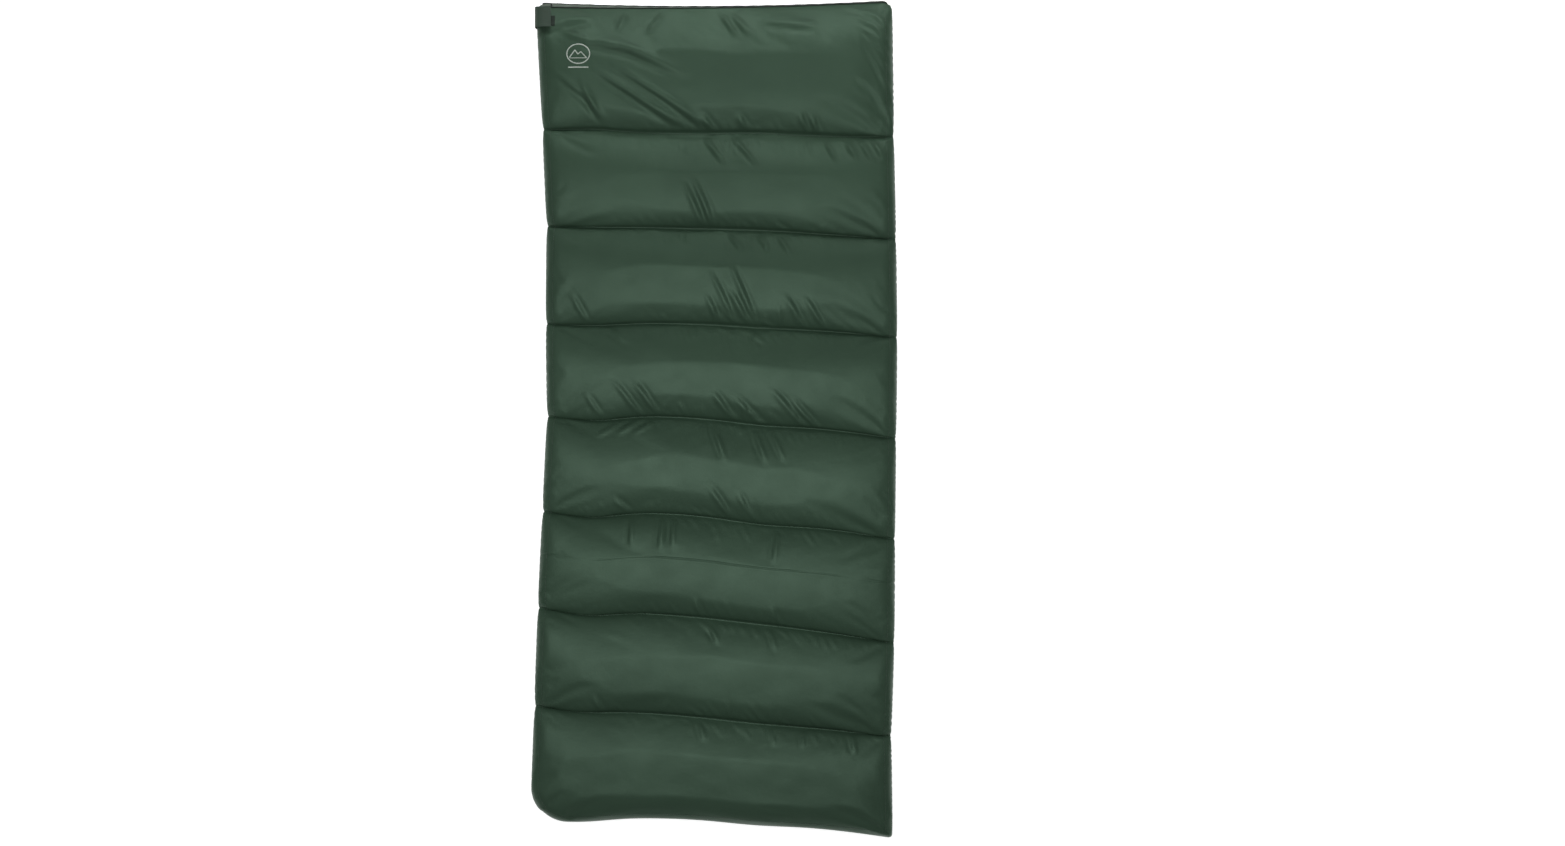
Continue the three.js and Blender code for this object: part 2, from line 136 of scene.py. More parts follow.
def smooth(t):
    t = np.clip(t, 0, 1)
    return t * t * (3 - 2 * t)


def channel_of(v):
    """The channel that a place v lies in, counted from the mouth."""
    return np.minimum(np.floor(v).astype(int), CHANNELS - 1)


def edge_x(quilt, v):
    """x of the left and right outlines, which swell between the seams."""
    c = channel_of(v)
    t = v - c
    full = np.sqrt(np.clip(1 - np.abs(2 * t - 1) ** 5, 0, 1))
    a, b = quilt.lines[c], quilt.lines[c + 1]
    left = a[..., 3] + (b[..., 3] - a[..., 3]) * t - BULGE[0] * full + quilt.inset - GROWTH
    right = a[..., 4] + (b[..., 4] - a[..., 4]) * t + BULGE[1] * full - quilt.inset + GROWTH
    return left, right


def line_y(quilt, v, u):
    """y of a place v at the share u of the width."""
    c = channel_of(v)
    t = v - c
    a, b = quilt.lines[c], quilt.lines[c + 1]
    ya = across((a[..., 0], a[..., 1], a[..., 2]), u)
    yb = across((b[..., 0], b[..., 1], b[..., 2]), u)
    y = ya + (yb - ya) * t
    if quilt.up > 0:
        sag = np.stack([seam_sag(line, u) for line in range(CHANNELS + 1)])
        before = np.take_along_axis(sag, c[None], axis=0)[0]
        after = np.take_along_axis(sag, c[None] + 1, axis=0)[0]
        y = y - before - (after - before) * t
    at_mouth = np.where(v < 0.5, 1 - 2 * v, 0)
    at_foot = np.where(v > CHANNELS - 0.5, 2 * (v - CHANNELS) + 1, 0)
    return y + (GROWTH * at_mouth - (GROWTH - quilt.inset) * at_foot)


NEAR_EDGE = np.array([0, 1.6, 4, 7.5, 12, 17.5, 23.5])  # columns close to a side, in millimetres
INNER_EDGE = 30.0  # where the evenly spaced columns start
NEAR_SEAM = np.array([0, .006, .017, .032, .05, .072, .096])  # rows close to a seam, in channels
INNER_SEAM = .122  # where the evenly spaced rows start


def channel_steps(cells):
    """Places of the rows in one channel, closer together at its seams."""
    middle = np.linspace(INNER_SEAM, 1 - INNER_SEAM, cells)
    return np.concatenate([NEAR_SEAM, middle, 1 - NEAR_SEAM[::-1]])


NO_SEAM = 999  # stands for the distance where the nearest line is the mouth or the foot
CHANNEL_LENGTH = 260


def plan_grid(quilt, row_cells, column_cells):
    """x, y and the shares that shape the height, for a grid of rows by columns."""
    steps = channel_steps(row_cells)
    v = np.concatenate([steps[(0 if c == 0 else 1):] + c for c in range(CHANNELS)])
    if quilt.up > 0:
        clear = v[np.abs(v - PIECING) > PIECING_GAP]
        v = np.sort(np.concatenate([clear, PIECING + PIECING_ROWS]))
    left, right = edge_x(quilt, v)
    middle = np.linspace(0, 1, column_cells)
    low, high = (left + INNER_EDGE)[:, None], (right - INNER_EDGE)[:, None]
    x = np.hstack([
        left[:, None] + NEAR_EDGE, low + (high - low) * middle, right[:, None] - NEAR_EDGE[::-1]])
    v2 = np.repeat(v[:, None], x.shape[1], axis=1)
    inner_left, inner_right = left + GROWTH, right - GROWTH
    u = (x - inner_left[:, None]) / (inner_right - inner_left)[:, None]
    y = line_y(quilt, v2, u)
    mouth_y = line_y(quilt, np.zeros_like(v2), u)
    foot_y = line_y(quilt, np.full_like(v2, CHANNELS), u)
    gaps = {
        "left": x - left[:, None],
        "right": right[:, None] - x,
        "mouth": mouth_y - y,
        "foot": y - foot_y,
    }
    inward = np.min(np.stack(list(gaps.values())), axis=0)
    for (end, side), radius in CORNERS.items():
        a, b = radius - gaps[side], radius - gaps[end]
        inside = (a > 0) & (b > 0)
        pull = np.where(inside, 1 - np.maximum(a, b) / np.maximum(np.hypot(a, b), 1e-6), 0)
        x = x + a * pull * (1 if side == "left" else -1)
        y = y + b * pull * (1 if end == "foot" else -1)
    t = v2 - channel_of(v2)
    m = np.minimum(t, 1 - t)
    # A channel rises more slowly from its seam on the mouth side than from the one on the foot side.
    rounding = np.clip(1 - (1 - 2 * m) ** np.where(t < 0.5, 2.3, 2.9), 0, 1)
    seam = rounding ** np.where(t < 0.5, 0.62, 0.5)
    outer_half = ((v2 < 1) & (t < 0.5)) | ((v2 > CHANNELS - 1) & (t > 0.5))
    seam = np.where(outer_half, 1.0, seam)
    sides = np.min(np.stack([gaps["left"], gaps["right"], gaps["foot"]]), axis=0)
    edge = np.sqrt(np.clip(1 - (1 - np.clip(sides, 0, REACH) / REACH) ** 2.3, 0, 1))
    edge = edge * (1 - (1 - np.clip(gaps["mouth"] / MOUTH_REACH, 0, 1)) ** 2.2)
    to_seam = np.where(outer_half, NO_SEAM, m * CHANNEL_LENGTH)
    return {
        "x": x, "y": y, "v": v2, "u": u, "seam": seam, "edge": edge, "inward": inward, "to_seam": to_seam,
    }


def outer_height(quilt, g):
    """Height of the shell's outer face."""
    full = quilt.rim + (quilt.outer - quilt.rim) * g["edge"]
    return quilt.outer_seam + (full - quilt.outer_seam) * g["seam"]


def inner_height(quilt, g):
    """Height of the face towards the sleeping space."""
    return quilt.inner_seam + (quilt.inner - quilt.inner_seam) * g["seam"] ** 0.8


# ---------------------------------------------------------------- folds in the cloth
# Long folds of the head panel: height, half-width and the few points each one runs through.
HEAD_FOLDS = [
    (6.5, 9, [(-405, 925), (-350, 940), (-290, 950)]),
    (7, 11, [(-360, 905), (-270, 890), (-200, 875), (-70, 815)]),
    (7, 8, [(-280, 825), (-170, 755), (-70, 695)]),
    (6.5, 8, [(-235, 835), (-140, 775), (0, 685)]),
    (6, 8, [(-375, 820), (-290, 755), (-260, 710)]),
    (4.5, 7, [(-315, 800), (-275, 725)]),
    (4.5, 6, [(-365, 920), (-295, 890)]),
    (4.5, 9, [(110, 940), (250, 930)]),
]


def mouth_folds():
    """Short folds that hang from the hem, and arcs round the mouth's right corner."""
    hanging = ((-210, -20), (-120, -40), (15, 35), (40, 40))
    folds = [(5, 6.5, [(x, 960), (x + lean, 912)]) for x, lean in hanging]
    for k in range(5):
        inner = 20 * k
        arc = [(310 + inner / 2, 975 - inner), (380, 955 - 1.4 * inner), (415, 915 - 1.8 * inner)]
        folds.append((4, 4.5, arc))
    return folds


# Bigger folds at the seams, by seam number: the side (+1 towards the mouth, -1 towards the foot), the
# shares of the width where they start, their length, and their lean in degrees from square to the seam,
# where a positive lean is to the left on the mouth side and to the right on the foot side.
SEAM_FOLDS = {
    1: [
        (+1, (0.49, 0.59), 45, 35),
        (+1, (0.76, 0.79), 50, 25),
        (-1, (0.46, 0.80, 0.86, 0.90, 0.94), 65, 35),
        (-1, (0.54,), 90, 45),
    ],
    2: [(+1, (0.45, 0.48), 110, 22), (-1, (0.52, 0.60, 0.66), 50, 35)],
    3: [
        (+1, (0.12, 0.50, 0.58, 0.74, 0.80), 75, 32),
        (+1, (0.54, 0.60), 140, 22),
        (-1, (0.18, 0.58), 45, 50),
    ],
    4: [
        (+1, (0.16, 0.27, 0.32, 0.54), 85, 40),
        (+1, (0.62, 0.74, 0.78), 100, 46),
        (-1, (0.21, 0.26, 0.31), 65, -58),
        (-1, (0.47, 0.59, 0.64), 80, 20),
    ],
    5: [(+1, (0.25,), 50, 50), (+1, (0.54, 0.61), 85, 36), (-1, (0.25, 0.34, 0.37, 0.67), 75, -6)],
    6: [(+1, (0.46,), 40, 20), (-1, (0.48, 0.65), 45, 20)],
    7: [(+1, (0.19,), 45, 35), (-1, (0.46, 0.89), 50, 15)],
}


FOLD_START = 7  # how far from its seam a bigger fold starts


def seam_fold(quilt, number, side, share, long, lean):
    """One of the folds of SEAM_FOLDS, a little different in length, lean, height and width each time."""
    line = quilt.lines[number]
    x = line[3] + (line[4] - line[3]) * share
    y = across(line[:3], share) - seam_sag(number, share) + FOLD_START * side
    reach = long * rng.uniform(0.85, 1.15)
    turn = math.radians(lean + rng.uniform(-4, 4))
    end = (x - side * reach * math.sin(turn), y + side * reach * math.cos(turn))
    return rng.uniform(4.8, 6.4), rng.uniform(4.8, 6.2), [(x, y), end]


def seam_folds(quilt):
    folds = []
    for number, groups in SEAM_FOLDS.items():
        for side, shares, long, lean in groups:
            folds += [seam_fold(quilt, number, side, share, long, lean) for share in shares]
    return folds


def fold_field(x, y, height, width, path):
    """A rounded ridge with a shallow trough beside it, fading at both ends of the path."""
    out = np.zeros_like(x)
    pts = np.array(path, float)
    low, high = pts.min(0) - 3 * width, pts.max(0) + 3 * width
    near = (x > low[0]) & (x < high[0]) & (y > low[1]) & (y < high[1])
    if not near.any():
        return out
    px, py = x[near], y[near]
    lengths = np.hypot(*(pts[1:] - pts[:-1]).T)
    total, run = lengths.sum(), 0.0
    best = np.full(px.shape, 1e9)
    side = np.zeros_like(px)
    along = np.zeros_like(px)
    for (a, b), long in zip(zip(pts[:-1], pts[1:]), lengths):
        d = (b - a) / long
        s = np.clip((px - a[0]) * d[0] + (py - a[1]) * d[1], 0, long)
        qx, qy = px - a[0] - s * d[0], py - a[1] - s * d[1]
        dist = np.hypot(qx, qy)
        closer = dist < best
        best = np.where(closer, dist, best)
        side = np.where(closer, np.sign(qx * d[1] - qy * d[0]) * dist, side)
        along = np.where(closer, (run + s) / total, along)
        run += long
    taper = np.sin(np.pi * np.clip(along, 0.02, 0.98)) ** 0.6
    crest = np.exp(-((side / width) ** 2))
    trough = 0.75 * np.exp(-(((side - 1.5 * width) / (0.9 * width)) ** 2))
    ends = np.exp(-((np.maximum(best - np.abs(side), 0)) / width) ** 2)
    out[near] = height * (crest - trough) * taper * ends
    return out


def seam_puckers(quilt, spacing, height):
    """Short slanted folds that run into every quilting seam from both sides."""
    folds = []
    for i in range(1, CHANNELS):
        line = quilt.lines[i]
        for upper in (True, False):
            x = line[3] + rng.uniform(6, 20)
            while x < line[4] - 8:
                u = (x - line[3]) / (line[4] - line[3])
                y = across(line[:3], u)
                busy = 0.55 + 0.75 * math.exp(-(((u - 0.6) / 0.28) ** 2))
                long = rng.uniform(14, 46) * busy
                lean = math.radians(rng.normal(24, 16))
                sign = 1 if upper else -1
                dx = -math.sin(lean) * long * sign
                dy = math.cos(lean) * long * sign
                high = height * rng.uniform(0.4, 1.1) * busy
                folds.append((high, rng.uniform(2.6, 4.2), [(x, y + sign * 2), (x + dx, y + dy)]))
                x += rng.uniform(*spacing)
    return folds


def edge_puckers(quilt, spacing, height):
    """Short folds square to the left and right edges, where the topstitching draws the cloth in."""
    folds = []
    for side in (0, 1):
        y = 965.0
        while y > -940:
            v = float(np.interp(-y, -quilt.lines[:, 0 if side == 0 else 2], np.arange(CHANNELS + 1)))
            x = float(edge_x(quilt, np.array([v]))[side][0])
            long = rng.uniform(12, 24)
            reach = long if side == 0 else -long
            folds.append((height * rng.uniform(0.5, 1.1), rng.uniform(2.4, 3.6),
                          [(x + reach * 0.1, y), (x + reach, y + rng.normal(0, 4))]))
            y -= rng.uniform(*spacing)
    return folds


SCALLOPED = (985, -955)  # the stitched length, from the mouth to the foot
SCALLOP_FADE = 30


def scallop(g):
    """Draws the outline in and out a little where the edge stitching gathers the cloth."""
    y = g["y"]
    near = np.exp(-((g["inward"] / 9) ** 2))
    for side, depth, pitch in ((-1, 0.9, 19.0), (1, 1.7, 14.5)):
        wobble = y + 6 * np.sin(y / 41) + 4 * np.sin(y / 17 + 2)
        knob = np.abs(np.sin(math.pi * wobble / pitch)) ** 0.8 - 0.6
        size = 0.7 + 0.3 * np.sin(y / 63 + side)
        this_side = (g["u"] > 0.5) if side > 0 else (g["u"] < 0.5)
        start = np.minimum(1, (SCALLOPED[0] - y) / SCALLOP_FADE)
        g["x"] = g["x"] + side * depth * size * knob * near * this_side * start * (y > SCALLOPED[1])


OVERLAP = 7.0


def overlap(g):
    """Lets the foot end of each channel sag over the seam below it."""
    t = g["v"] - channel_of(g["v"])
    lean = smooth((t - 0.7) / 0.2) * (1 - np.clip((t - 0.965) / 0.035, 0, 1) ** 1.5)
    g["y"] = g["y"] - OVERLAP * lean * np.clip(g["inward"] / 25, 0, 1) * (g["v"] < CHANNELS - 1)


def apply_folds(g, folds):
    total = np.zeros_like(g["x"])
    for height, width, path in folds:
        total += fold_field(g["x"], g["y"], height, width, path)
    return total


def waves(x, y, scale, seed, octaves=4):
    """Sum of slanted sines, a gentle unevenness in loft and cloth."""
    draw = np.random.default_rng(seed)
    out = np.zeros_like(x)
    for k in range(octaves * 3):
        octave = k // 3
        frequency = (1.6 ** octave) / scale
        turn = draw.uniform(0, 2 * math.pi)
        slanted = x * math.cos(turn) + y * math.sin(turn)
        out += np.sin(slanted * frequency * 2 * math.pi + draw.uniform(0, 6.28)) / (1.5 ** octave)
    return out / (octaves * 1.2)


# ---------------------------------------------------------------- meshes
def mesh_object(name, points, faces):
    """A smooth-shaded object from points in drawing millimetres."""
    mesh = bpy.data.meshes.new(name)
    pts = (np.asarray(points, float) + SHIFT) * MM
    mesh.from_pydata([tuple(p) for p in pts], [], [tuple(int(i) for i in f) for f in faces])
    mesh.update()
    mesh.polygons.foreach_set("use_smooth", [True] * len(mesh.polygons))
    obj = bpy.data.objects.new(name, mesh)
    bpy.context.scene.collection.objects.link(obj)
    return obj


def grid_faces(rows, columns, flip=False):
    i, j = np.meshgrid(np.arange(rows - 1), np.arange(columns - 1), indexing="ij")
    a = (i * columns + j).ravel()
    quads = np.stack([a, a + columns, a + columns + 1, a + 1], axis=1)
    return quads[:, ::-1] if flip else quads


def border(rows, columns):
    """The grid's edge vertices in order round it."""
    mouth = list(range(columns))
    right = [i * columns + columns - 1 for i in range(1, rows)]
    foot = [(rows - 1) * columns + j for j in range(columns - 2, -1, -1)]
    left = [i * columns for i in range(rows - 2, 0, -1)]
    return mouth + right + foot + left


def with_skirt(points, faces, loop, rings):
    """Adds rings of quads outside a loop. Each ring gives (inward, z) for its vertices."""
    pts = [points]
    allf = [faces]
    centre = points[loop].mean(0)
    base = points[loop]
    n = len(loop)
    tangent = np.roll(base, -1, axis=0) - np.roll(base, 1, axis=0)
    normal = np.stack([-tangent[:, 1], tangent[:, 0], np.zeros(n)], axis=1)
    normal /= np.maximum(np.linalg.norm(normal[:, :2], axis=1), 1e-6)[:, None]
    if ((centre - base) * normal).sum() < 0:
        normal = -normal
    previous = np.array(loop)
    total = len(points)
    for inward, z in rings:
        ring = base + normal * inward
        ring[:, 2] = z
        index = np.arange(total, total + n)
        nxt = np.roll(np.arange(n), -1)
        allf.append(np.stack([previous, index, index[nxt], previous[nxt]], axis=1)[:, ::-1])
        pts.append(ring)
        previous = index
        total += n
    return np.vstack(pts), np.vstack(allf)


def drop_doubles(obj, distance=0.00005):
    bm = bmesh.new()
    bm.from_mesh(obj.data)
    bmesh.ops.remove_doubles(bm, verts=bm.verts, dist=distance)
    bmesh.ops.dissolve_degenerate(bm, edges=bm.edges, dist=1e-6)
    bmesh.ops.recalc_face_normals(bm, faces=bm.faces)
    bm.to_mesh(obj.data)
    bm.free()


def apply_modifiers(obj):
    depsgraph = bpy.context.evaluated_depsgraph_get()
    mesh = bpy.data.meshes.new_from_object(obj.evaluated_get(depsgraph))
    obj.modifiers.clear()
    old = obj.data
    obj.data = mesh
    bpy.data.meshes.remove(old)


def thicken(obj, thickness, offset):
    solid = obj.modifiers.new("thickness", "SOLIDIFY")
    solid.thickness = thickness * MM
    solid.offset = offset
    solid.use_even_offset = False
    apply_modifiers(obj)


def settle_cloth(obj, pin, pressure, frames, cap, floor_z=None):
    """Cloth simulation of the fabric between its pinned seams; the result is kept in the mesh."""
    start = np.empty(len(obj.data.vertices) * 3)
    obj.data.vertices.foreach_get("co", start)
    start = start.reshape(-1, 3)
    group = obj.vertex_groups.new(name="pin")
    group.add([int(i) for i in np.nonzero(pin)[0]], 1.0, "REPLACE")
    cloth = obj.modifiers.new("cloth", "CLOTH")
    settings = cloth.settings
    settings.quality = 5
    settings.mass = 0.12
    settings.tension_stiffness = 14
    settings.compression_stiffness = 14
    settings.shear_stiffness = 6
    settings.bending_stiffness = 0.06
    settings.air_damping = 2
    settings.use_pressure = True
    settings.uniform_pressure_force = pressure
    settings.vertex_group_mass = "pin"
    settings.pin_stiffness = 4
    settings.effector_weights.gravity = 0
    cloth.point_cache.frame_start = 1
    cloth.point_cache.frame_end = frames
    scene = bpy.context.scene
    for frame_number in range(1, frames + 1):
        scene.frame_set(frame_number)
    apply_modifiers(obj)
    scene.frame_set(1)
    co = np.empty(len(obj.data.vertices) * 3)
    obj.data.vertices.foreach_get("co", co)
    co = co.reshape(-1, 3)
    move = co - start
    size = np.linalg.norm(move, axis=1, keepdims=True)
    limit = cap * MM
    co = start + move * np.minimum(1, limit / np.maximum(size, 1e-9))
    if floor_z is not None:
        co[:, 2] = np.maximum(co[:, 2], floor_z * MM)
    obj.data.vertices.foreach_set("co", co.ravel())
    obj.vertex_groups.clear()
    obj.data.update()


# ---------------------------------------------------------------- materials
def linear(value):
    return value / 255 / 12.92 if value <= 10 else ((value / 255 + 0.055) / 1.055) ** 2.4


def srgb(red, green, blue):
    return linear(red), linear(green), linear(blue), 1.0


class Finish:
    """Node material in the object's own coordinates."""

    def __init__(self, name, roughness, metallic=0.0):
        self.mat = bpy.data.materials.new(name)
        self.mat.use_nodes = True
        self.tree = self.mat.node_tree
        self.shader = self.tree.nodes["Principled BSDF"]
        self.shader.inputs["Roughness"].default_value = roughness
        self.shader.inputs["Metallic"].default_value = metallic
        self.coords = self.add("ShaderNodeTexCoord").outputs["Object"]

    def add(self, kind, **inputs):
        node = self.tree.nodes.new(kind)
        for key, value in inputs.items():
            node.inputs[key].default_value = value
        return node

    def link(self, a, b):
        self.tree.links.new(a, b)

    def stretched(self, scale, turn=0.0):
        node = self.add("ShaderNodeMapping")
        node.inputs["Scale"].default_value = scale
        node.inputs["Rotation"].default_value = (0, 0, turn)
        self.link(self.coords, node.inputs["Vector"])
        return node.outputs["Vector"]

    def noise(self, scale, detail=3.0, vector=None):
        node = self.add("ShaderNodeTexNoise", Scale=scale, Detail=detail)
        self.link(vector or self.coords, node.inputs["Vector"])
        return node.outputs["Fac"]

    def wave(self, pitch, axis, vector=None):
        node = self.add("ShaderNodeTexWave", Scale=0.314 / (pitch * MM), Distortion=0.3)
        node.bands_direction = axis
        self.link(vector or self.coords, node.inputs["Vector"])
        return node.outputs["Fac"]

    def maths(self, operation, a, b):
        node = self.add("ShaderNodeMath")
        node.operation = operation
        for socket, value in zip(node.inputs, (a, b)):
            if isinstance(value, (int, float)):
                socket.default_value = value
            else:
                self.link(value, socket)
        return node.outputs["Value"]

    def ramp(self, factor, stops):
        node = self.add("ShaderNodeValToRGB")
        while len(node.color_ramp.elements) < len(stops):
            node.color_ramp.elements.new(0.5)
        for element, (place, colour) in zip(node.color_ramp.elements, stops):
            element.position = place
            element.color = colour
        self.link(factor, node.inputs["Fac"])
        return node.outputs["Color"]

    def colour(self, output):
        self.link(output, self.shader.inputs["Base Color"])

    def roughness(self, factor, low, high):
        node = self.add("ShaderNodeMapRange")
        node.inputs["To Min"].default_value = low
        node.inputs["To Max"].default_value = high
        self.link(factor, node.inputs["Value"])
        self.link(node.outputs["Result"], self.shader.inputs["Roughness"])

    def bump(self, *layers):
        normal = None
        for height, distance, strength in layers:
            node = self.add("ShaderNodeBump", Distance=distance * MM, Strength=strength)
            self.link(height, node.inputs["Height"])
            if normal is not None:
                self.link(normal, node.inputs["Normal"])
            normal = node.outputs["Normal"]
        self.link(normal, self.shader.inputs["Normal"])

    def sheen(self, weight, roughness, tint):
        self.shader.inputs["Sheen Weight"].default_value = weight
        self.shader.inputs["Sheen Roughness"].default_value = roughness
        self.shader.inputs["Sheen Tint"].default_value = tint


def woven(name, dark, light, roughness, pitch, sheen, rubbed, depth=0.12):
    """Plain weave with uneven yarns; pitch, rubbed and depth are in millimetres."""
    f = Finish(name, roughness)
    cloudy = f.noise(5.0, 4.0)
    slub = f.noise(60.0, 2.0, f.stretched((1.0, 14.0, 1.0)))
    mixed = f.maths("ADD", f.maths("MULTIPLY", cloudy, 0.7), f.maths("MULTIPLY", slub, 0.3))
    f.colour(f.ramp(mixed, [(0.25, dark), (0.75, light)]))
    weave = f.maths("MULTIPLY", f.wave(pitch, "X"), f.wave(pitch, "Y"))
    f.bump((weave, depth, 0.35), (f.noise(380.0, 2.0), 0.25, 0.25), (f.noise(45.0, 3.0), rubbed, 0.5))
    f.roughness(f.noise(18.0, 3.0), roughness - 0.07, roughness + 0.08)
    f.sheen(sheen, 0.45, srgb(170, 190, 172))
    return f.mat


SHELL = woven("shell_cloth", srgb(42, 60, 47), srgb(50, 70, 55), 0.48, 0.5, 0.0, 1.0)
SHELL.node_tree.nodes["Principled BSDF"].inputs["Specular Tint"].default_value = (0.66, 1.0, 0.76, 1)
LINING = woven("lining_cloth", srgb(112, 126, 114), srgb(134, 147, 135), 0.62, 0.6, 0.0, 1.0)
BINDING = woven("binding_cloth", srgb(20, 29, 23), srgb(30, 42, 34), 0.7, 0.7, 0.0, 0.5)
TAPE = woven("zip_tape_cloth", srgb(22, 26, 24), srgb(34, 39, 36), 0.75, 0.9, 0.15, 0.3)
WEBBING = woven("webbing_cloth", srgb(38, 56, 44), srgb(52, 72, 58), 0.6, 1.1, 0.0, 0.3, 0.3)
HOOKS = woven("hook_cloth", srgb(22, 32, 26), srgb(36, 50, 41), 0.85, 1.4, 0.0, 0.2, 0.6)


def thread_finish(name, dark, light):
    f = Finish(name, 0.5)
    twist = f.wave(0.5, "DIAGONAL")
    f.colour(f.ramp(f.noise(300.0, 2.0), [(0.3, dark), (0.7, light)]))
    f.bump((twist, 0.1, 0.6), (f.noise(900.0, 2.0), 0.1, 0.4))
    f.sheen(0.3, 0.4, srgb(190, 200, 190))
    return f.mat


THREAD = thread_finish("thread", srgb(40, 56, 45), srgb(62, 80, 66))
EMBLEM = thread_finish("emblem_thread", srgb(165, 176, 166), srgb(200, 208, 200))


def plastic_finish(name, dark, light, roughness):
    f = Finish(name, roughness)
    f.colour(f.ramp(f.noise(120.0, 3.0), [(0.3, dark), (0.7, light)]))
    f.bump((f.noise(700.0, 2.0), 0.08, 0.4))
    f.roughness(f.noise(200.0, 2.0), roughness - 0.08, roughness + 0.12)
    return f.mat


COIL = plastic_finish("coil_plastic", srgb(26, 30, 28), srgb(44, 49, 46), 0.38)


def metal_finish(name):
    f = Finish(name, 0.34, 0.85)
    worn = f.noise(260.0, 4.0)
    f.colour(f.ramp(worn, [(0.35, srgb(46, 48, 49)), (0.68, srgb(78, 80, 80)), (0.8, srgb(130, 130, 128))]))
    f.bump((f.noise(900.0, 2.0), 0.05, 0.4))
    f.roughness(worn, 0.26, 0.5)
    return f.mat


METAL = metal_finish("painted_metal")


def dress(obj, material):
    obj.data.materials.clear()
    obj.data.materials.append(material)
    return obj


def belongs(obj, slot, body, *nodes):
    """Hides the CAD nodes a piece stands for and attaches it to the body it moves with; slot is not used."""
    if nodes:
        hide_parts(*nodes)
    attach(obj, body)


# ---------------------------------------------------------------- quilts
GROOVE = (16, 3.0, 0.7)  # the dip at the edge stitching: its place, width and depth
# Rings of the shell's turned-in edge: (how far in, z)
TURNED_IN = {1: [(0, 60.6), (0.9, 58.6), (7, 57.9)], -1: [(0, 39.2), (0.9, 41.0), (7, 41.6)]}
PIECING_LENGTH = 240  # millimetres a channel near the piecing seam
LOWEST = 0.15  # least height of the underside before the cloth settles
FLOOR_Z = 0.1  # and after


def piecing_dip(g):
    """The shallow dip where the shell's two panels are joined, with the cloth raised beside it."""
    away = (g["v"] - PIECING) * PIECING_LENGTH
    return -1.4 * np.exp(-((away / 1.5) ** 2)) + 0.5 * np.exp(-((away / 6) ** 2))


def build_quilt(quilt, prefix, row_cells, column_cells, folds, cap, frames, pressure):
    """The shell of a quilt: its folds are shaped first, then the cloth settles between the seams."""
    g = plan_grid(quilt, row_cells, column_cells)
    rows, columns = g["x"].shape
    z = outer_height(quilt, g)
    fade = np.minimum(1, 1.25 * g["seam"]) * np.minimum(1, g["inward"] / 9)
    wrinkle = apply_folds(g, folds) * fade
    scallop(g)
    loft = waves(g["x"], g["y"], 210, 3) * 1.3 * g["seam"] * g["edge"]
    place, width, depth = GROOVE
    groove = -depth * np.exp(-(((g["inward"] - place) / width) ** 2)) * g["seam"]
    overlap(g)
    piecing = piecing_dip(g) if quilt.up > 0 else 0
    z = z + quilt.up * (wrinkle + loft + groove + piecing)
    if quilt.up < 0:
        z = np.maximum(z, LOWEST)
    points = np.stack([g["x"], g["y"], z], axis=2).reshape(-1, 3)
    faces = grid_faces(rows, columns, flip=quilt.up < 0)
    loop = border(rows, columns)
    points, faces = with_skirt(points, faces, loop, TURNED_IN[quilt.up])
    obj = mesh_object(f"{prefix}_shell_cloth", points, faces)
    pin = np.zeros(len(points))
    pin[: rows * columns] = ((g["to_seam"] < 0.5) | (g["inward"] < 0.01)).ravel().astype(float)
    pin[rows * columns:] = 1
    if quilt.up < 0:
        pin[: rows * columns][(z < 1.0).ravel()] = 1
    if frames:
        settle_cloth(obj, pin, pressure, frames, cap, FLOOR_Z if quilt.up < 0 else None)
    drop_doubles(obj)
    dress(obj, SHELL)
    return obj, g


folds = HEAD_FOLDS + mouth_folds() + seam_folds(TOP)
folds += seam_puckers(TOP, (13, 30), 3.6) + edge_puckers(TOP, (11, 17), 1.8)
share = 1.0
TOP_CELLS = (int(32 * share), int(136 * share))
BOTTOM_CELLS = (int(22 * share), int(96 * share))
top_shell, top_grid = build_quilt(TOP, "top", *TOP_CELLS, folds, cap=7, frames=16, pressure=1.2)
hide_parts("top_shell_head", "top_shell_foot", *[f"top_fill_{i + 1}" for i in range(CHANNELS)])
folds = seam_puckers(BOTTOM, (16, 34), 1.8) + edge_puckers(BOTTOM, (12, 20), 1.2)
bottom_shell, bottom_grid = build_quilt(
    BOTTOM, "bottom", *BOTTOM_CELLS, folds, cap=4, frames=10, pressure=0.8)
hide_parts("bottom_shell", *[f"bottom_fill_{i + 1}" for i in range(CHANNELS)])


LINING_LOFT = 4.6  # how far the linings swell into the sleeping space
LINING_INSET = 3
LINING_CELLS = (22, 96)


def build_lining(quilt, prefix):
    """The lining of a quilt, as a thin sheet that keeps flat beside the zip."""
    lining = copy.copy(quilt)
    lining.inset = quilt.inset + LINING_INSET
    g = plan_grid(lining, *LINING_CELLS)
    rows, columns = g["x"].shape
    fade = np.minimum(1, 1.4 * g["seam"]) * np.clip((g["inward"] - 34) / 40, 0, 1)
    wrinkle = apply_folds(g, seam_puckers(lining, (12, 26), 2.6))
    wrinkle = wrinkle * np.clip((g["inward"] - 30) / 20, 0, 1)
    loft = (LINING_LOFT + waves(g["x"], g["y"], 160, 11) * 0.7) * fade
    z = inner_height(lining, g) - quilt.up * (wrinkle * np.minimum(1, 1.25 * g["seam"]) * 0.8 + loft)
    points = np.stack([g["x"], g["y"], z], axis=2).reshape(-1, 3)
    obj = mesh_object(f"{prefix}_lining_cloth", points, grid_faces(rows, columns, flip=quilt.up > 0))
    thicken(obj, 0.7, 0)
    dress(obj, LINING)
    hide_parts(f"{prefix}_lining")
    return obj, g


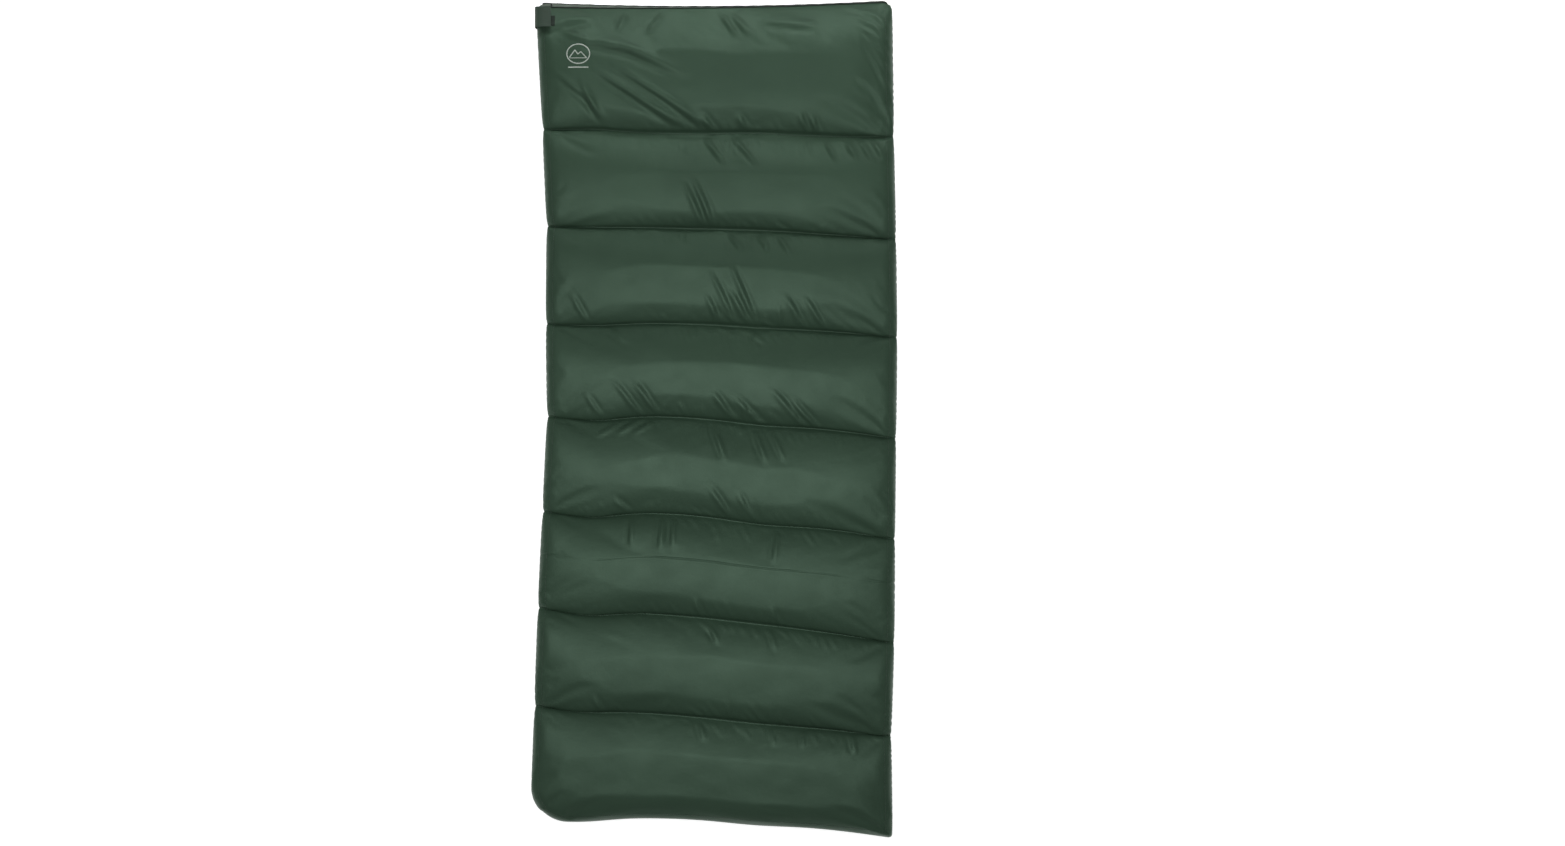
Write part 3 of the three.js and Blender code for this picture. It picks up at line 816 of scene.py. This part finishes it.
top_lining, top_lining_grid = build_lining(TOP, "top")
bottom_lining, bottom_lining_grid = build_lining(BOTTOM, "bottom")
for obj, body, slot in (
    (top_shell, "top_quilt", "shell_fabric"),
    (bottom_shell, "bottom_quilt", "shell_fabric"),
    (top_lining, "top_quilt", "lining_fabric"),
    (bottom_lining, "bottom_quilt", "lining_fabric"),
):
    belongs(obj, slot, body)


# ---------------------------------------------------------------- stitching
def surface_of(obj):
    mesh = obj.data
    verts = [obj.matrix_world @ v.co for v in mesh.vertices]
    return BVHTree.FromPolygons(verts, [tuple(p.vertices) for p in mesh.polygons])


top_surface = surface_of(top_shell)
RAY_START = 0.2  # metres above the floor, over the bag


def drape_z(x, y):
    """Height in millimetres of the top shell at a plan point, or None beside it."""
    start = Vector(((x + SHIFT[0]) * MM, (y + SHIFT[1]) * MM, RAY_START))
    hit = top_surface.ray_cast(start, Vector((0, 0, -1)))[0]
    return hit.z / MM if hit else None


def walk(path, step):
    """Evenly spaced points and directions along a 3-D polyline."""
    path = np.asarray(path, float)
    seg = np.linalg.norm(np.diff(path, axis=0), axis=1)
    run = np.concatenate([[0], np.cumsum(seg)])
    stations = np.arange(step / 2, run[-1], step)
    place = np.stack([np.interp(stations, run, path[:, k]) for k in range(3)], axis=1)
    ahead = np.stack([np.interp(stations + 0.6, run, path[:, k]) for k in range(3)], axis=1)
    behind = np.stack([np.interp(stations - 0.6, run, path[:, k]) for k in range(3)], axis=1)
    along = ahead - behind
    return place, along / np.linalg.norm(along, axis=1, keepdims=True)


def tube_faces(rings, sides, base=0):
    """Faces of a closed tube whose points are numbered from base, ring after ring."""
    faces = []
    for i in range(rings - 1):
        for k in range(sides):
            a, b = base + i * sides + k, base + i * sides + (k + 1) % sides
            faces.append((a, b, b + sides, a + sides))
    faces.append(tuple(base + k for k in range(sides - 1, -1, -1)))
    faces.append(tuple(base + (rings - 1) * sides + k for k in range(sides)))
    return faces


def hexagon(turn=0.0):
    return [(math.cos(a), math.sin(a)) for a in (np.arange(6) + turn) * math.pi / 3]


# Sections of a stitch: share of its length, share of its radius, rise
STITCH = ((-0.5, 0.35, -0.25), (-0.22, 1, 0.1), (0.22, 1, 0.1), (0.5, 0.35, -0.25))


def stitches(name, path, up, pitch=3.6, long=2.9, radius=0.42):
    """A row of lock stitches: short plump threads that dip at both ends."""
    points, faces = [], []
    ring = hexagon()
    for place, along in zip(*walk(path, pitch)):
        side = np.cross(along, (0, 0, up))
        side /= np.linalg.norm(side)
        lift = np.cross(side, along)
        faces += tube_faces(len(STITCH), 6, len(points))
        for shift, swell, rise in STITCH:
            for c, s in ring:
                beside = side * c * swell * radius
                points.append(place + along * shift * long + beside + lift * (s * swell * radius + rise))
    obj = mesh_object(name, points, faces)
    drop_doubles(obj)
    return dress(obj, THREAD)


INSIDE = slice(3, -3)  # the columns of a row without the ones at the edge


def seam_row(g, number, z):
    """The seam as a path at one height."""
    row = int(np.argmin(np.abs(g["v"][:, 0] - number)))
    x, y = g["x"][row, INSIDE], g["y"][row, INSIDE]
    return np.stack([x, y, np.full_like(x, z)], axis=1)


THREAD_RISE, LINING_THREAD_RISE = 0.55, 0.75
for prefix, quilt, outer_g, inner_g in (
    ("top", TOP, top_grid, top_lining_grid),
    ("bottom", BOTTOM, bottom_grid, bottom_lining_grid),
):
    for i in range(1, CHANNELS):
        outer_line = seam_row(outer_g, i, quilt.outer_seam + quilt.up * THREAD_RISE)
        inner_line = seam_row(inner_g, i, quilt.inner_seam - quilt.up * LINING_THREAD_RISE)
        thread = stitches(f"{prefix}_stitching_{i}", outer_line, quilt.up)
        inner_thread = stitches(f"{prefix}_lining_stitching_{i}", inner_line, -quilt.up)
        for obj in (thread, inner_thread):
            belongs(obj, "thread", f"{prefix}_quilt")
        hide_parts(f"{prefix}_seam_{i}")


def topstitch(g, column=5, row=4):
    """A line of stitches down the top quilt's left edge, along the foot and up the right edge."""
    rows, columns = g["x"].shape
    right, foot = columns - 1 - column, rows - 1 - row
    cells = [(i, column) for i in range(row, foot)]
    cells += [(foot, j) for j in range(column, right + 1)]
    cells += [(i, right) for i in range(foot - 1, row - 1, -1)]
    path = []
    for cell in cells:
        x, y = g["x"][cell], g["y"][cell]
        z = drape_z(x, y)
        if z is not None:
            path.append((x, y, z + 0.25))
    obj = stitches("top_edge_stitching", path, 1, 4.0, 3.2, 0.4)
    belongs(obj, "thread", "top_quilt")


topstitch(top_grid)


# ---------------------------------------------------------------- zip
ZIP_X, CORNER_Y, CORNER_R = -386.0, -860.0, 62.0
FOOT_BEND = 60  # where the tape starts to follow the slant of the foot
TAPE_END = (421.0, -981.0)


def zip_plan(head, tail_back=0.0):
    """Plan path down the left side, round the corner and along the foot."""
    path = [(ZIP_X, y) for y in np.linspace(head, CORNER_Y, 60)]
    cx = ZIP_X + CORNER_R
    for a in np.linspace(math.pi, 1.5 * math.pi, 17)[1:]:
        path.append((cx + CORNER_R * math.cos(a), CORNER_Y + CORNER_R * math.sin(a)))
    path += [(x, CORNER_Y - CORNER_R) for x in np.linspace(cx, FOOT_BEND, 14)[1:]]
    bend, end = np.array([FOOT_BEND, CORNER_Y - CORNER_R]), np.array(TAPE_END)
    direction = (end - bend) / np.linalg.norm(end - bend)
    end = end - direction * tail_back
    path += [tuple(bend + (end - bend) * t) for t in np.linspace(0, 1, 14)[1:]]
    return np.array(path, float)


def side_normals(path):
    d = np.gradient(path, axis=0)
    d /= np.linalg.norm(d, axis=1, keepdims=True)
    return np.stack([d[:, 1], -d[:, 0]], axis=1)


def strip(name, path, section, material):
    """Closed section of (outward, z) points swept along a plan path."""
    points = []
    for (x, y), (nx, ny) in zip(path, side_normals(path)):
        points += [(x + nx * outward, y + ny * outward, z) for outward, z in section]
    obj = mesh_object(name, points, tube_faces(len(path), len(section)))
    drop_doubles(obj)
    return dress(obj, material)


def finer(path, step):
    run = np.concatenate([[0], np.cumsum(np.linalg.norm(np.diff(path, axis=0), axis=1))])
    at = np.linspace(0, run[-1], int(run[-1] / step) + 1)
    return np.stack([np.interp(at, run, path[:, k]) for k in range(2)], axis=1)


COIL_PITCH = 2.5
COIL_OUT = 1.95  # from the tape's middle to the middle of the links


def teeth(name, path, root_z, head_z, shift):
    """One side's coil: a row of rounded links, each with a swollen head."""
    flat = np.hstack([path, np.zeros((len(path), 1))])
    points, faces = [], []
    ring = hexagon(0.5)
    sign = 1 if head_z > root_z else -1
    # z, half length along the tape and half width out from it
    sections = (
        (root_z, 0.78, 0.95),
        (root_z + sign * 1.4, 0.8, 1.05),
        (head_z - sign * 0.9, 0.86, 1.2),
        (head_z, 0.5, 0.7),
    )
    for place, along in zip(*walk(flat, COIL_PITCH)):
        out = np.array([along[1], -along[0], 0])
        place = place + along * shift
        faces += tube_faces(len(sections), 6, len(points))
        for z, half_long, half_out in sections:
            for c, s in ring:
                q = place + out * COIL_OUT + along * c * half_long + out * s * half_out
                points.append((q[0], q[1], z))
    obj = mesh_object(name, points, faces)
    drop_doubles(obj)
    return dress(obj, COIL)


tape_path = finer(zip_plan(986), 9)
coil_path = zip_plan(980, 14)
for side, low, high, root, head, shift, body in (
    ("lower", 41.8, 48.6, 46.1, 50.3, 0.0, "bottom_quilt"),
    ("upper", 50.4, 57.2, 52.9, 48.7, 1.25, "top_quilt"),
):
    section = [(-0.4, low), (-0.4, high), (-0.1, high + 0.25), (0.4, high), (0.4, low)]
    tape = strip(f"{side}_tape", tape_path, section, TAPE)
    belongs(tape, "zip_tape", body, f"{side}_zip_tape")
    chain = teeth(f"{side}_coil", coil_path, root, head, shift)
    belongs(chain, "zip_coil", body, f"{side}_zip_coil")

for node in ("zip_slider", "zip_pull", "lower_top_stop", "upper_top_stop", "retainer_box", "insertion_pin"):
    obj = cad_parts[node]
    dress(obj, METAL)
    bevel = obj.modifiers.new("edges", "BEVEL")
    bevel.width = 0.35 * MM
    bevel.segments = 2
    bevel.limit_method = "ANGLE"


# ---------------------------------------------------------------- draught tube, hems and bindings
def draught_tube():
    """Soft padded tube inside the zip, closing down at its ends."""
    ys = np.linspace(958, -838, 300)
    ring = np.linspace(0, 2 * math.pi, 16, endpoint=False)
    points = []
    for i, y in enumerate(ys):
        ends = min(1, (i + 1) / 6, (len(ys) - i) / 6)
        swell = 0.9 + 0.05 * math.sin(y * 0.09) + 0.04 * math.sin(y * 0.23 + 1)
        for a in ring:
            x = -367 + 13.5 * math.cos(a) * (0.55 + 0.45 * ends)
            z = 47.1 + 4.0 * math.sin(a) * swell * ends
            points.append((x, y, z))
    faces = tube_faces(len(ys), len(ring))
    obj = dress(mesh_object("draught_tube_cloth", points, faces), LINING)
    drop_doubles(obj)
    return obj


tube = draught_tube()
belongs(tube, "lining_fabric", "bottom_quilt", "draft_tube")


def mouth_hem(prefix, g, low, high):
    """Folded binding over the mouth edge, with a little ripple."""
    x, y = g["x"][0, INSIDE], g["y"][0, INSIDE]
    path = finer(np.stack([x, y], axis=1), 5)
    ripple = 0.5 * np.sin(np.arange(len(path)) * 0.9) + 0.3 * np.sin(np.arange(len(path)) * 0.37)
    path = path + np.stack([np.zeros(len(path)), ripple * 0.5], axis=1)
    section = [(0.4, low), (0.4, high), (-0.6, high + 0.9), (-2.0, high + 0.7)]
    section += [(-2.5, high - 1.2), (-2.5, low + 1.0), (-1.6, low - 0.3)]
    obj = strip(f"{prefix}_mouth_binding", path, section, BINDING)
    belongs(obj, "binding", f"{prefix}_quilt", f"{prefix}_mouth_hem")
    line = np.stack([path[:, 0], path[:, 1] + 2.75, np.full(len(path), (low + high) / 2)], axis=1)
    row_stitches = stitches(f"{prefix}_mouth_stitching", line, 1, 3.4, 2.6, 0.35)
    belongs(row_stitches, "thread", f"{prefix}_quilt")


mouth_hem("top", top_grid, 56.4, 63.0)
mouth_hem("bottom", bottom_grid, 35.8, 42.2)


def side_binding(name, node, body, low, high):
    """Narrow tape inside the sewn side, running a little past the mouth's and foot's lines."""
    right = LINES[:, 4] - 8
    y = LINES[:, 2].copy()
    y[0] -= 12
    y[-1] += 40
    ys = np.linspace(y[0], y[-1], 260)
    xs = np.interp(-ys, -y, right)
    path = np.stack([xs, ys], axis=1)
    section = [(-1.3, low), (-1.3, high), (-0.6, high + 0.15), (0, high), (0, low)]
    obj = strip(name, path, section, BINDING)
    belongs(obj, "binding", body, node)


side_binding("lower_seam_binding", "lower_side_binding", "bottom_quilt", 42.4, 47.2)
side_binding("upper_seam_binding", "upper_side_binding", "top_quilt", 49.6, 56.4)


def side_seam():
    """Gathered cloth that joins the two quilts along the right side."""
    rows, columns = 420, 9
    v = np.linspace(0.02, CHANNELS - 0.02, rows)
    right = edge_x(TOP, v)[1] - 3.0
    y = line_y(TOP, v, np.ones(rows))
    points = []
    for k in range(rows):
        pucker = 0.9 * math.sin(y[k] * 0.45) + 0.5 * math.sin(y[k] * 0.19 + 1)
        for j in range(columns):
            t = j / (columns - 1)
            bow = math.sin(math.pi * t)
            points.append((right[k] - 2.2 * bow + pucker * bow * 0.6, y[k], 41.2 + 17.2 * t))
    obj = mesh_object("side_seam_cloth", points, grid_faces(rows, columns))
    thicken(obj, 0.8, 0)
    dress(obj, SHELL)
    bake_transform(obj)


side_seam()


# ---------------------------------------------------------------- closure tab
TAB_Y = (926.0, 974.0)


def slab(name, top, bottom, material):
    """A closed body between two grids of points of the same size."""
    rows, columns = top.shape[:2]
    count = rows * columns
    faces = [tuple(f) for f in grid_faces(rows, columns)]
    faces += [tuple(int(k) + count for k in f) for f in grid_faces(rows, columns, True)]
    loop = border(rows, columns)
    faces += [(a, b, b + count, a + count) for a, b in zip(loop, loop[1:] + loop[:1])]
    obj = dress(mesh_object(name, np.vstack([top.reshape(-1, 3), bottom.reshape(-1, 3)]), faces), material)
    drop_doubles(obj)
    return obj


def tab_strip(name, profile, thick=1.5, ribs=11):
    """Webbing with lengthwise ribs, swept along a profile of (x, z) points."""
    profile = np.array(profile, float)
    run = np.concatenate([[0], np.cumsum(np.linalg.norm(np.diff(profile, axis=0), axis=1))])
    at = np.linspace(0, run[-1], 40)
    prof = np.stack([np.interp(at, run, profile[:, k]) for k in range(2)], axis=1)
    for _ in range(3):
        prof[1:-1] = (prof[:-2] + 2 * prof[1:-1] + prof[2:]) / 4
    d = np.gradient(prof, axis=0)
    d /= np.linalg.norm(d, axis=1, keepdims=True)
    normal = np.stack([-d[:, 1], d[:, 0]], axis=1)
    ys = np.linspace(TAB_Y[0], TAB_Y[1], ribs * 6 + 1)
    rib = 0.28 * np.abs(np.sin(np.pi * (ys - TAB_Y[0]) / (TAB_Y[1] - TAB_Y[0]) * ribs)) ** 0.7
    edge = np.minimum(1, np.minimum(ys - TAB_Y[0], TAB_Y[1] - ys) / 1.0)
    half = (thick / 2 + rib - 0.28) * (0.35 + 0.65 * edge)
    layers = []
    for sign in (1, -1):
        layer = np.empty((len(prof), len(ys), 3))
        for i in range(len(prof)):
            layer[i, :, 0] = prof[i, 0] + normal[i, 0] * half * sign
            layer[i, :, 1] = ys
            layer[i, :, 2] = prof[i, 1] + normal[i, 1] * half * sign
        layers.append(layer)
    return slab(name, *layers, WEBBING)


ROOT_PROFILE = [(-413, 31.5), (-419, 34), (-422.8, 40), (-424.2, 46), (-424.6, 60), (-424.4, 76)]
ROOT_PROFILE += [(-422.9, 88)]
FLAP_PROFILE = [(-422.9, 87.6), (-420.5, 93), (-415, 97), (-406, 98.8), (-396, 99.3), (-385.5, 99.2)]
tab_base = tab_strip("tab_webbing_root", ROOT_PROFILE)
tab_flap = tab_strip("tab_webbing_flap", FLAP_PROFILE)
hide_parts("tab_base")
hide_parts("tab_flap")
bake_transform(tab_base)
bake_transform(tab_flap)


NAP_PITCH = 0.75


def patch(name, node, body, x_range, y_range, height_at, thick):
    """Square of hook or loop tape covered with a fine nap of short studs."""
    xs = np.arange(x_range[0], x_range[1] + 0.01, NAP_PITCH)
    ys = np.arange(y_range[0], y_range[1] + 0.01, NAP_PITCH)[::-1]
    x, y = np.meshgrid(xs, ys)
    base = height_at(x, y)
    nap = np.random.default_rng(5).uniform(0, 0.4, x.shape)
    nap[[0, -1], :] = 0
    nap[:, [0, -1]] = 0
    top = np.stack([x, y, base + thick + nap], axis=2)
    bottom = np.stack([x, y, base], axis=2)
    obj = slab(name, top, bottom, HOOKS)
    belongs(obj, "hook_and_loop", body, node)


def on_shell(x, y):
    """Heights just inside the top shell's surface."""
    z = np.zeros_like(x)
    for k in np.ndindex(x.shape):
        z[k] = (drape_z(x[k], y[k]) or 90) - 0.2
    return z


patch("loop_tape", "loop_patch", "top_quilt", (-398, -377), (929, 955), on_shell, 1.0)
HOOK_Z = 97.2
patch(
    "hook_tape", "hook_patch", "tab_flap", (-409, -388), (931, 969),
    lambda x, y: np.full_like(x, HOOK_Z), 0.7)


# ---------------------------------------------------------------- generic stitched mark
def mark():
    """A ring round two plain peaks, with a bar under it, embroidered on the head panel."""
    cx, cy = -321.0, 862.0
    circle = [(cx + 27 * math.cos(a), cy + 23 * math.sin(a)) for a in np.linspace(0, 2 * math.pi, 80)]
    peaks = [(cx - 21, cy - 9), (cx - 8, cy + 9), (cx - 1, cy - 1), (cx + 6, cy + 5), (cx + 19, cy - 9)]
    base = [(cx - 21, cy - 10), (cx + 21, cy - 10)]
    bar = [(cx - 24, cy - 32), (cx + 24, cy - 32)]
    points, faces = [], []
    bead = ((-1, -0.3), (-0.6, 0.45), (0, 0.75), (0.6, 0.45), (1, -0.3))  # share of the half width, rise
    for line, half in ((circle, 1.5), (peaks, 1.4), (base, 1.0), (bar, 1.6)):
        line = finer(np.array(line, float), 1.5)
        d = np.gradient(line, axis=0)
        d /= np.linalg.norm(d, axis=1, keepdims=True)
        normal = np.stack([-d[:, 1], d[:, 0]], axis=1)
        base_index = len(points)
        for (x, y), (nx, ny) in zip(line, normal):
            for share, rise in bead:
                px, py = x + nx * share * half, y + ny * share * half
                points.append((px, py, (drape_z(px, py) or 94) + rise))
        for i in range(len(line) - 1):
            for k in range(len(bead) - 1):
                a = base_index + i * len(bead) + k
                faces.append((a, a + len(bead), a + len(bead) + 1, a + 1))
    obj = dress(mesh_object("stitched_mark", points, faces), EMBLEM)
    thicken(obj, 0.3, -1)
    belongs(obj, "thread", "top_quilt")


mark()

# ---------------------------------------------------------------- floor, light and camera
floor_mesh = bpy.data.meshes.new("floor")
bm = bmesh.new()
bmesh.ops.create_grid(bm, x_segments=2, y_segments=2, size=30)
bm.to_mesh(floor_mesh)
bm.free()
floor = bpy.data.objects.new("floor", floor_mesh)
bpy.context.scene.collection.objects.link(floor)
paper = Finish("floor", 0.9)
paper.colour(paper.ramp(paper.noise(2.0, 2.0), [(0.0, (0.92, 0.92, 0.92, 1)), (1.0, (0.95, 0.95, 0.95, 1))]))
paper.shader.inputs["Specular IOR Level"].default_value = 0.1
paper.shader.inputs["Emission Color"].default_value = (1, 1, 1, 1)
paper.shader.inputs["Emission Strength"].default_value = 0.8
floor.data.materials.append(paper.mat)
floor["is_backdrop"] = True


def lamp(name, place, target, size, power, size_y, spread):
    """A rectangular softbox; a narrow spread keeps its light off the floor around the bag."""
    light = bpy.data.lights.new(name, "AREA")
    light.spread = math.radians(spread)
    light.shape = "RECTANGLE"
    light.size = size
    light.size_y = size_y
    light.energy = power
    obj = bpy.data.objects.new(name, light)
    obj.location = place
    obj.rotation_euler = (Vector(target) - Vector(place)).to_track_quat("-Z", "Y").to_euler()
    bpy.context.scene.collection.objects.link(obj)


lamp("head_light", (0.1, 2.0, 1.2), (0.05, 1.0, 0.08), 1.6, 1.7, 0.5, 40)
lamp("overhead", (-0.1, -0.15, 2.6), (-0.08, -0.2, 0.0), 1.5, 11.2, 1.2, 98)
world = bpy.data.worlds.new("studio")
world.use_nodes = True
world.node_tree.nodes["Background"].inputs["Color"].default_value = (1, 1, 1, 1)
world.node_tree.nodes["Background"].inputs["Strength"].default_value = 0.21
scene = bpy.context.scene
scene.world = world
scene.view_settings.view_transform = "Standard"

LENS, SENSOR = 85.0, 36.0
VIEW_WIDTH = 3.70905  # metres across the picture at the bag
CAMERA_FOCUS_Z = 0.06
camera_data = bpy.data.cameras.new("camera")
camera_data.lens = LENS
camera_data.sensor_width = SENSOR
camera = bpy.data.objects.new("camera", camera_data)
camera.location = (0.162, -0.0102, VIEW_WIDTH * LENS / SENSOR + CAMERA_FOCUS_Z)
scene.collection.objects.link(camera)
scene.camera = camera

low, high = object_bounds()
